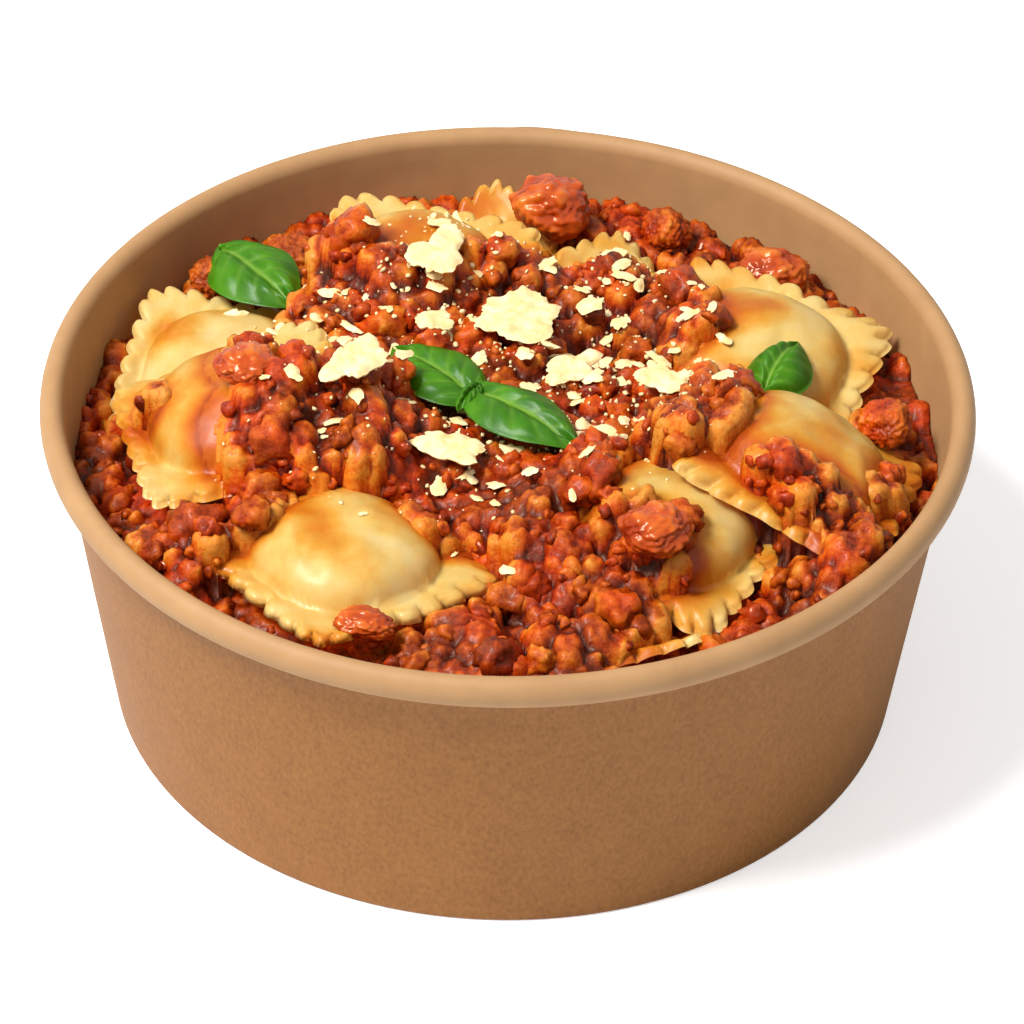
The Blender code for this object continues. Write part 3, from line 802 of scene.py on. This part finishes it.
# ---- Tomato and meat lumps -------------------------------------------------------------------------
# Soft cooked tomato, in lumps where the frame has a chunk and in small scraps all over the sauce, and the
# larger clumps of mince. Tomato: cooked flesh, orange-red, smooth and very wet.
tomato, tree, shader = new_material("cooked_tomato_flesh")
place = add_node(tree, "ShaderNodeTexCoord").outputs["Object"]
# The attribute read here carries painted light on bumps and tops and painted shade in dips and on undersides
proud = add_node(tree, "ShaderNodeAttribute", attribute_name="tone_and_painted_shade").outputs["Fac"]
cloud = add_node(tree, "ShaderNodeTexNoise", {"Vector": place}, Scale=240, Detail=4)
cloud_part = add_node(
    tree, "ShaderNodeMath", {0: cloud.outputs["Fac"], 1: 0.8, 2: -0.4}, operation="MULTIPLY_ADD",
)
tone = add_node(tree, "ShaderNodeMath", {0: proud, 1: cloud_part.outputs[0]}, operation="ADD")
tomato_colour = add_node(
    tree, "ShaderNodeValToRGB", {"Fac": tone.outputs[0]},
    stops=((0.1, "581404"), (0.4, "8C2606"), (0.65, "AE420C"), (0.9, "CC6C22")),
).outputs["Color"]
tree.links.new(tomato_colour, shader.inputs["Base Color"])
gloss = add_node(tree, "ShaderNodeMapRange", {"Value": cloud.outputs["Fac"]}, To_Min=0.12, To_Max=0.36)
tree.links.new(gloss.outputs[0], shader.inputs["Roughness"])
shader.inputs["Specular Tint"].default_value = (1, 0.6, 0.4, 1)
shader.inputs["Coat Weight"].default_value = 0.08
shader.inputs["Coat Roughness"].default_value = 0.1
shader.inputs["Subsurface Weight"].default_value = 0.15
shader.inputs["Subsurface Radius"].default_value = (1, 0.25, 0.1)
shader.inputs["Subsurface Scale"].default_value = 2 * MM

scrap_shapes = [knobbly_ball(seed + 60, 2, 0.7) for seed in range(8)]
scraps = drop_crumbs(55, scrap_shapes, 1.0, 2.2, 13, 0.5, 0.4)
crumb_pieces.append(scatter("tomato_scraps", tomato, scraps))

LUMPS = (
    "tomato_chunk_back", "tomato_chunk_right", "tomato_chunk_left", "tomato_chunk_front_right",
    "tomato_chunk_front_left", "meat_chunk_back_right", "meat_chunk_back_left", "meat_chunk_far_left",
    "meat_chunk_right",
)
LUMP_SINK = 1.2 * MM
LUMP_FILL = 0.98
FINE_BUMP_TOMATO = 0.05
FINE_BUMP_MEAT = 0.12
lump_pieces = []
for seed, node in enumerate(LUMPS):
    low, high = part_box(node)
    bm = bmesh.new()
    bmesh.ops.create_icosphere(bm, subdivisions=5, radius=1)
    painted_shade_layer = bm.verts.layers.float.new("tone_and_painted_shade")
    is_tomato = node.startswith("tomato")
    fine_bump = FINE_BUMP_TOMATO if is_tomato else FINE_BUMP_MEAT
    for point in bm.verts:
        way = point.co.normalized()
        swell = 0.22 * noise.noise(way * 1.4 + Vector((seed * 4.1, 0, 0)))
        swell += 0.2 * abs(noise.noise(way * 3.1 + Vector((0, seed * 3.3, 0))))
        swell += fine_bump * noise.noise(way * 8 + Vector((0, 0, seed * 2.1)))
        reach = LUMP_FILL + swell
        half_size = (high - low) / 2
        middle = (high + low) / 2
        point.co = Vector(middle[i] + way[i] * reach * half_size[i] for i in range(3))
        point.co.z -= LUMP_SINK
        # Painted light on the bumps and the upper side, painted shade in the dips and on the lower side
        point[painted_shade_layer] = 0.5 + 1.3 * swell + 0.1 * way.z
    material, slot = (tomato, "cooked_tomato") if is_tomato else (ragu, "cooked_meat")
    lump_pieces.append(finish_piece(node + "_flesh", bm, material, slot, node))


# ---- Parmesan --------------------------------------------------------------------------------------
# Hard cheese broken off with a grater's coarse side: flat flakes with ragged edges, and crumbs between.
# Each flake is a gridded slab drawn out to a ragged outline and laid on the highest food under it.
parmesan, tree, shader = new_material("hard_grated_cheese")
place = add_node(tree, "ShaderNodeTexCoord").outputs["Object"]
grain = add_node(tree, "ShaderNodeTexNoise", {"Vector": place}, Scale=420, Detail=6, Roughness=0.65)
cheese_colour = add_node(
    tree, "ShaderNodeValToRGB", {"Fac": grain.outputs["Fac"]},
    stops=((0.3, "DDBB74"), (0.5, "ECD096"), (0.7, "F4E0B4")),
).outputs["Color"]
tree.links.new(cheese_colour, shader.inputs["Base Color"])
shader.inputs["Roughness"].default_value = 0.55
shader.inputs["Subsurface Weight"].default_value = 0.15
shader.inputs["Subsurface Radius"].default_value = (1, 0.8, 0.5)
shader.inputs["Subsurface Scale"].default_value = 1.5 * MM
bump = add_node(tree, "ShaderNodeBump", {"Height": grain.outputs["Fac"]}, Strength=0.4, Distance=0.0003)
tree.links.new(bump.outputs[0], shader.inputs["Normal"])


# Everything that a light topping can rest on
DOWN = Vector((0, 0, -1))
topping_bed = search_tree([sauce_core] + ravioli_pieces + crumb_pieces + lump_pieces)


def ragged_slab(cells, seed, length, width, thickness, jag):
    """A flat flake in a bmesh, lying round the origin: jag is how far its outline is torn in and out."""
    bm = bmesh.new()
    bmesh.ops.create_grid(bm, x_segments=cells, y_segments=cells, size=1)
    low_side = set(bm.verts)
    bmesh.ops.extrude_face_region(bm, geom=list(bm.faces))
    for point in bm.verts:
        u, v = point.co.x, point.co.y
        edge = max(abs(u), abs(v))
        angle = math.atan2(v, u)
        ring = Vector((math.cos(angle), math.sin(angle), seed * 1.7))
        reach = edge * (0.9 + 0.45 * noise.noise(ring * 1.3) + jag * noise.noise(ring * 4.5))
        reach += edge * jag * 0.6 * noise.noise(ring * 11)
        x, y = reach * math.cos(angle) * length / 2, reach * math.sin(angle) * width / 2
        spot = Vector((x, y, seed * MM)) / MM
        z = 0.35 * thickness * noise.noise(spot / 1.6) + 0.5 * thickness * noise.noise(spot / 6)
        thin = math.sqrt(max(0, 1 - edge ** 6))
        side = -0.5 if point in low_side else 0.5
        point.co = (x, y, z + side * thickness * thin * (1 + 0.35 * noise.noise(spot / 2.3)))
    return bm


def settle(bm, share, lift=0):
    """Moves a light piece up or down until a share of its points are clear of what is below, and lifts it."""
    gaps = []
    for point in bm.verts:
        hit = topping_bed.ray_cast(Vector((point.co.x, point.co.y, ABOVE)), DOWN)[0]
        if hit is not None:
            gaps.append(hit.z - point.co.z)
    gaps.sort()
    bmesh.ops.translate(bm, vec=(0, 0, gaps[int(share * (len(gaps) - 1))] + lift), verts=bm.verts)


FLAKE_CELLS = 26
FLAKE_THICKNESS = 1.3 * MM
FLAKE_JAG = 0.1
FLAKE_CLEAR = 0.97
# Length and width in mm, and heading in degrees
FLAKES = {
    "parmesan_flake_large": (18, 14, 40), "parmesan_flake_back": (15, 9, 75),
    "parmesan_flake_left": (14, 9.5, 60), "parmesan_flake_front": (14, 7.5, -25),
    "parmesan_flake_middle": (12, 7.5, 40), "parmesan_flake_right": (10.5, 7, -30),
    "parmesan_flake_beside": (7, 6, 10),
}
for seed, (node, (length, width, heading)) in enumerate(FLAKES.items()):
    low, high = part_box(node)
    bm = ragged_slab(FLAKE_CELLS, seed + 3, length * MM, width * MM, FLAKE_THICKNESS, FLAKE_JAG)
    middle = (low + high) / 2
    spin = Matrix.Rotation(math.radians(heading), 3, "Z")
    bmesh.ops.rotate(bm, cent=(0, 0, 0), matrix=spin, verts=bm.verts)
    bmesh.ops.translate(bm, vec=(middle.x, middle.y, 0), verts=bm.verts)
    settle(bm, FLAKE_CLEAR)
    finish_piece(node + "_cheese", bm, parmesan, "parmesan", node)

# Smaller flakes and crumbs, in drifts: each one's middle and spread in mm, and its share of what fell
CHEESE_DRIFT = (
    (-20, 3, 9, 1.0), (-14, 20, 8, 1.2), (-8, 32, 7, 0.8), (4, 14, 10, 1.4), (14, 4, 8, 1.2),
    (20, 22, 8, 0.7), (-8, -18, 9, 1.0), (12, -12, 9, 0.6), (24, -4, 7, 0.8), (-30, -8, 9, 0.5),
    (16, 36, 5, 0.5), (-26, 12, 8, 0.6),
)


def cheese_spot(rng):
    x, y, spread, _ = rng.choices(CHEESE_DRIFT, [drift[3] for drift in CHEESE_DRIFT])[0]
    return x * MM + rng.gauss(0, spread * MM), y * MM + rng.gauss(0, spread * MM)


def slab_shape(seed):
    """Points, triangles and an even tone, for one small flake about 2 long."""
    bm = ragged_slab(4, seed, 2, 1.5, 0.45, 0.2)
    bmesh.ops.triangulate(bm, faces=bm.faces)
    bmesh.ops.recalc_face_normals(bm, faces=bm.faces)
    shape = np.array([point.co for point in bm.verts])
    faces = np.array([[point.index for point in face.verts] for face in bm.faces])
    bm.free()
    return shape, faces, np.zeros(len(shape))


def drop_cheese(count, shapes, smallest, largest, seed):
    rng = random.Random(seed)
    placed = []
    for _ in range(count):
        x, y = cheese_spot(rng)
        point, normal, _, _ = topping_bed.ray_cast(Vector((x, y, ABOVE)), DOWN)
        size = (smallest + (largest - smallest) * rng.random() ** 2) * MM
        if point is None or math.hypot(x, y) > edge_radius - 2 * MM:
            continue
        upright = (normal + Vector((0, 0, 1.2))).normalized()
        lean = Vector((0, 0, 1)).rotation_difference(upright).to_matrix()
        spin = Matrix.Rotation(rng.uniform(0, 2 * math.pi), 3, "Z")
        sizes = (size * rng.uniform(0.7, 1.3), size * rng.uniform(0.5, 1), size * rng.uniform(0.6, 1))
        basis = lean @ spin @ Matrix.Diagonal(Vector(sizes))
        placed.append((rng.choice(shapes), basis, point + normal * 0.3 * size, 0.5))
    return placed


slab_shapes = [slab_shape(seed + 50) for seed in range(12)]
crumb_shapes = [knobbly_ball(seed + 90, 1, 0.5) for seed in range(6)]
scatter("parmesan_flakes_small", parmesan, drop_cheese(190, slab_shapes, 0.9, 2.9, 21))
scatter("parmesan_crumbs", parmesan, drop_cheese(900, crumb_shapes, 0.18, 0.55, 22))


# ---- Basil -----------------------------------------------------------------------------------------
# Fresh basil: a sprig's top with two leaves and its small shoots in the middle, one leaf at the back left
# and a curled one on the right. Cupped, smooth leaves, puffed up between their veins.
basil, tree, shader = new_material("fresh_basil_leaf")
place = add_node(tree, "ShaderNodeTexCoord").outputs["Object"]
vein = add_node(tree, "ShaderNodeAttribute", attribute_name="vein").outputs["Fac"]
cloud = add_node(tree, "ShaderNodeTexNoise", {"Vector": place}, Scale=180, Detail=3)
leaf_dark = add_node(
    tree, "ShaderNodeValToRGB", {"Fac": cloud.outputs["Fac"]},
    stops=((0.3, "32760A"), (0.7, "5CA414")),
).outputs["Color"]
vein_mix = add_node(tree, "ShaderNodeMix", {0: vein, 6: leaf_dark, 7: colour("8FBF44")}, data_type="RGBA")
tree.links.new(vein_mix.outputs[2], shader.inputs["Base Color"])
shader.inputs["Roughness"].default_value = 0.36
shader.inputs["Specular IOR Level"].default_value = 0.35
shader.inputs["Subsurface Weight"].default_value = 0.12
shader.inputs["Subsurface Radius"].default_value = (0.4, 1, 0.2)
shader.inputs["Subsurface Scale"].default_value = 1 * MM


def leaf_slab(length, width, cup, bend, seed, thickness=0.4 * MM):
    """A leaf from its stalk at -X to its tip at +X, in a bmesh with its veins marked."""
    bm = bmesh.new()
    bmesh.ops.create_grid(bm, x_segments=64, y_segments=40, size=1)
    low_side = set(bm.verts)
    bmesh.ops.extrude_face_region(bm, geom=list(bm.faces))
    vein_layer = bm.verts.layers.float.new("vein")
    for point in bm.verts:
        t, v = (point.co.x + 1) / 2, point.co.y
        half = width / 2 * max(0, math.sin(math.pi * t ** 0.82)) ** 0.72
        x, y = (t - 0.5) * length, v * half
        across = abs(v)
        ribs = abs(math.sin(math.pi * (5.5 * t - 1.5 * across ** 0.8)))
        puff = ribs ** 0.7 * (1 - across ** 3) * smooth_step(0.02, 0.3, across)
        z = -cup * half * across ** 2.2 - bend * length * (t - 0.4) ** 2
        z += 0.45 * MM * puff - 0.9 * MM * math.exp(-(across / 0.2) ** 2)
        z += 0.6 * MM * noise.noise(Vector((t * 3, v * 2, seed)))
        side = -0.5 if point in low_side else 0.5
        point.co = (x, y, z + side * thickness * (1 - across ** 8) ** 0.5)
        midrib = math.exp(-(across / 0.05) ** 2)
        point[vein_layer] = min(1, midrib + 0.55 * (1 - ribs) ** 3 * (1 - across ** 2))
    return bm


LEAF_CLEAR = 0.93
# Length and width in mm, heading in degrees, cup, bend, and two leans in degrees
LEAVES = {
    "basil_leaf_back_left": (21, 14.5, -52, 0.35, 0.5, (8, -6)),
    "basil_leaf_left": (20, 13, 135, 0.3, 0.5, (0, -4)),
    "basil_leaf_right": (23, 13.5, -38, 0.3, 0.4, (-4, -2)),
    "basil_leaf_curled": (14, 11, 65, 0.8, 0.9, (0, -10)),
}
for seed, (node, (length, width, heading, cup, bend, lean)) in enumerate(LEAVES.items()):
    low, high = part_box(node)
    middle = (low + high) / 2
    bm = leaf_slab(length * MM, width * MM, cup, bend, seed)
    lean_matrix = Euler((math.radians(lean[0]), math.radians(lean[1]), 0)).to_matrix()
    heading_matrix = Matrix.Rotation(math.radians(heading), 3, "Z")
    bmesh.ops.rotate(bm, cent=(0, 0, 0), matrix=heading_matrix @ lean_matrix, verts=bm.verts)
    bmesh.ops.translate(bm, vec=(middle.x, middle.y, 0), verts=bm.verts)
    settle(bm, LEAF_CLEAR)
    finish_piece(node + "_blade", bm, basil, "basil", node)

# The middle's small shoots: place, length and width in mm, and heading in degrees
SHOOTS = (
    (-5.2, -1.5, 6, 3, 100), (-3.0, -3.2, 6, 3.2, 20), (-6.2, -5.4, 7, 3.4, -120), (-3.6, -5.6, 5, 2.6, -60),
)
for seed, (x, y, length, width, heading) in enumerate(SHOOTS):
    bm = leaf_slab(length * MM, width * MM, 0.4, 0.5, seed + 10, 0.3 * MM)
    spin = Matrix.Rotation(math.radians(heading), 3, "Z")
    bmesh.ops.rotate(bm, cent=(0, 0, 0), matrix=spin, verts=bm.verts)
    bmesh.ops.translate(bm, vec=(x * MM, y * MM, 0), verts=bm.verts)
    settle(bm, 1, (1.2 + 0.4 * seed) * MM)
    finish_piece("basil_shoot_%d" % (seed + 1), bm, basil, "basil")


# ---- Floor, light and camera -----------------------------------------------------------------------
# A flat pale table under the bowl, a large soft lamp high on the left, and a weak one in front to fill.
# The table's glow shows to the camera alone, and the world looks white but lights softly.
floor_material, tree, shader = new_material("pale_table_sweep")
shader.inputs["Base Color"].default_value = colour("F4F4F4")
shader.inputs["Emission Color"].default_value = (1, 1, 1, 1)
rays = add_node(tree, "ShaderNodeLightPath")
lift = add_node(tree, "ShaderNodeMath", {0: rays.outputs["Is Camera Ray"], 1: 0.5}, operation="MULTIPLY")
tree.links.new(lift.outputs[0], shader.inputs["Emission Strength"])
shader.inputs["Roughness"].default_value = 0.9
bm = bmesh.new()
bmesh.ops.create_grid(bm, x_segments=1, y_segments=1, size=4)
mesh = bpy.data.meshes.new("table_sweep")
bm.to_mesh(mesh)
bm.free()
mesh.materials.append(floor_material)
table_sweep = bpy.data.objects.new("table_sweep", mesh)
bpy.context.scene.collection.objects.link(table_sweep)
table_sweep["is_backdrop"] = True

world = bpy.data.worlds.new("studio")
bpy.context.scene.world = world
world.use_nodes = True
tree = world.node_tree
tree.nodes.clear()
rays = add_node(tree, "ShaderNodeLightPath")
seen = rays.outputs["Is Camera Ray"]
for other in ("Is Glossy Ray", "Is Transmission Ray"):
    either = add_node(tree, "ShaderNodeMath", {0: seen, 1: rays.outputs[other]}, operation="MAXIMUM")
    seen = either.outputs[0]
soft_light = add_node(tree, "ShaderNodeBackground", Strength=0.4)
white = add_node(tree, "ShaderNodeBackground", Strength=1.0)
choice = add_node(tree, "ShaderNodeMixShader", {0: seen, 1: soft_light.outputs[0], 2: white.outputs[0]})
for background in (soft_light, white):
    background.inputs["Color"].default_value = (1, 1, 1, 1)
add_node(tree, "ShaderNodeOutputWorld", {"Surface": choice.outputs[0]})

LAMP_AIM_HEIGHT = 40 * MM


def soft_box(name, place, size, watts):
    """A round soft lamp aimed at the food."""
    lamp = bpy.data.lights.new(name, "AREA")
    lamp.shape = "DISK"
    lamp.size = size
    lamp.energy = watts
    lamp_object = bpy.data.objects.new(name, lamp)
    lamp_object.location = place
    aim = Vector((0, 0, LAMP_AIM_HEIGHT)) - Vector(place)
    lamp_object.rotation_euler = aim.to_track_quat("-Z", "Y").to_euler()
    bpy.context.scene.collection.objects.link(lamp_object)


soft_box("key_left", (-0.6, -0.3, 1.15), 0.5, 27)
soft_box("fill_front", (0.5, -0.9, 0.8), 0.7, 1)

CAMERA_AIM_HEIGHT = 30 * MM
CAMERA_DISTANCE = 745.9 * MM
CAMERA_ELEVATION = math.radians(38.517)
CAMERA_ROLL = math.radians(0.869)
CAMERA_PAN = math.radians(-0.082)
CAMERA_TILT = math.radians(0.02)
camera = bpy.data.cameras.new("camera")
camera.lens = 160
camera.sensor_width = 36
camera_object = bpy.data.objects.new("camera", camera)
bpy.context.scene.collection.objects.link(camera_object)
back = Vector((0, -math.cos(CAMERA_ELEVATION), math.sin(CAMERA_ELEVATION)))
camera_object.location = Vector((0, 0, CAMERA_AIM_HEIGHT)) + back * CAMERA_DISTANCE
facing = (-back).to_track_quat("-Z", "Y").to_matrix()
aim = Euler((CAMERA_TILT, CAMERA_PAN, CAMERA_ROLL), "XYZ").to_matrix()
camera_object.rotation_euler = (facing @ aim).to_euler()
bpy.context.scene.camera = camera_object
bpy.context.scene.view_settings.view_transform = "Standard"

low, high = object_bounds()
